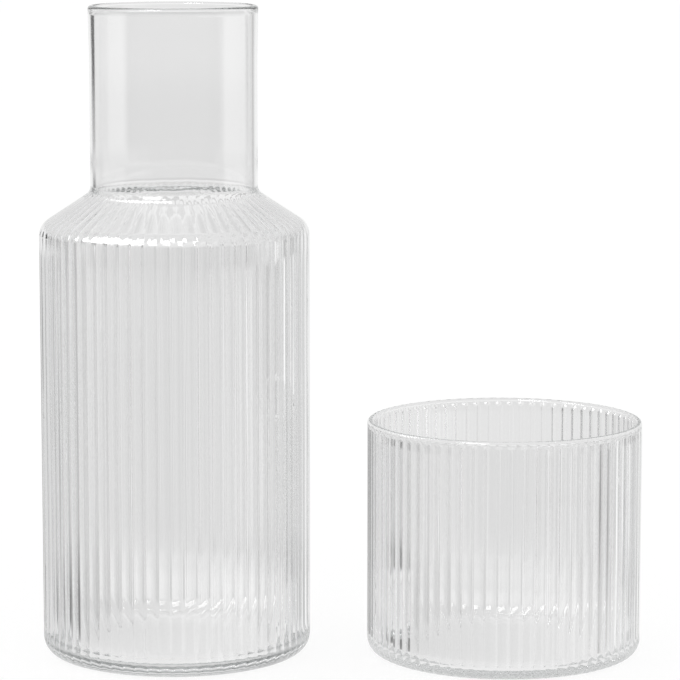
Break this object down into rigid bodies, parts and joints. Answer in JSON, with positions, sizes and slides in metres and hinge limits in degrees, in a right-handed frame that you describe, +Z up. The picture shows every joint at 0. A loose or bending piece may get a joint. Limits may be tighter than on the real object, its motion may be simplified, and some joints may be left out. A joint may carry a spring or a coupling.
{
  "type": "bedside carafe with tumbler",
  "caption": "Ribbed clear glass carafe with a plain cylindrical neck, and a ribbed tumbler that stands beside it and turns over onto the neck as a lid.",
  "frame": {"origin": "centre of the carafe's flat foot, on the surface that both pieces stand on", "axes": "+Z up along the carafe's axis and out of its mouth, +X from the carafe towards the tumbler that stands beside it, -Y towards the viewer"},
  "size_m": [0.2014, 0.0926, 0.2176],
  "materials": {
    "clear_glass": "clear soda-lime glass, fire-polished at the lips"
  },
  "bodies": {
    "carafe": {"carafe": "clear_glass"},
    "tumbler": {"tumbler": "clear_glass"}
  },
  "joints": [
    {"name": "tumbler_lift", "type": "slide", "parent": "carafe", "child": "tumbler", "axis": [0, 0, 1], "range_m": [0, 0.24]}
  ]
}
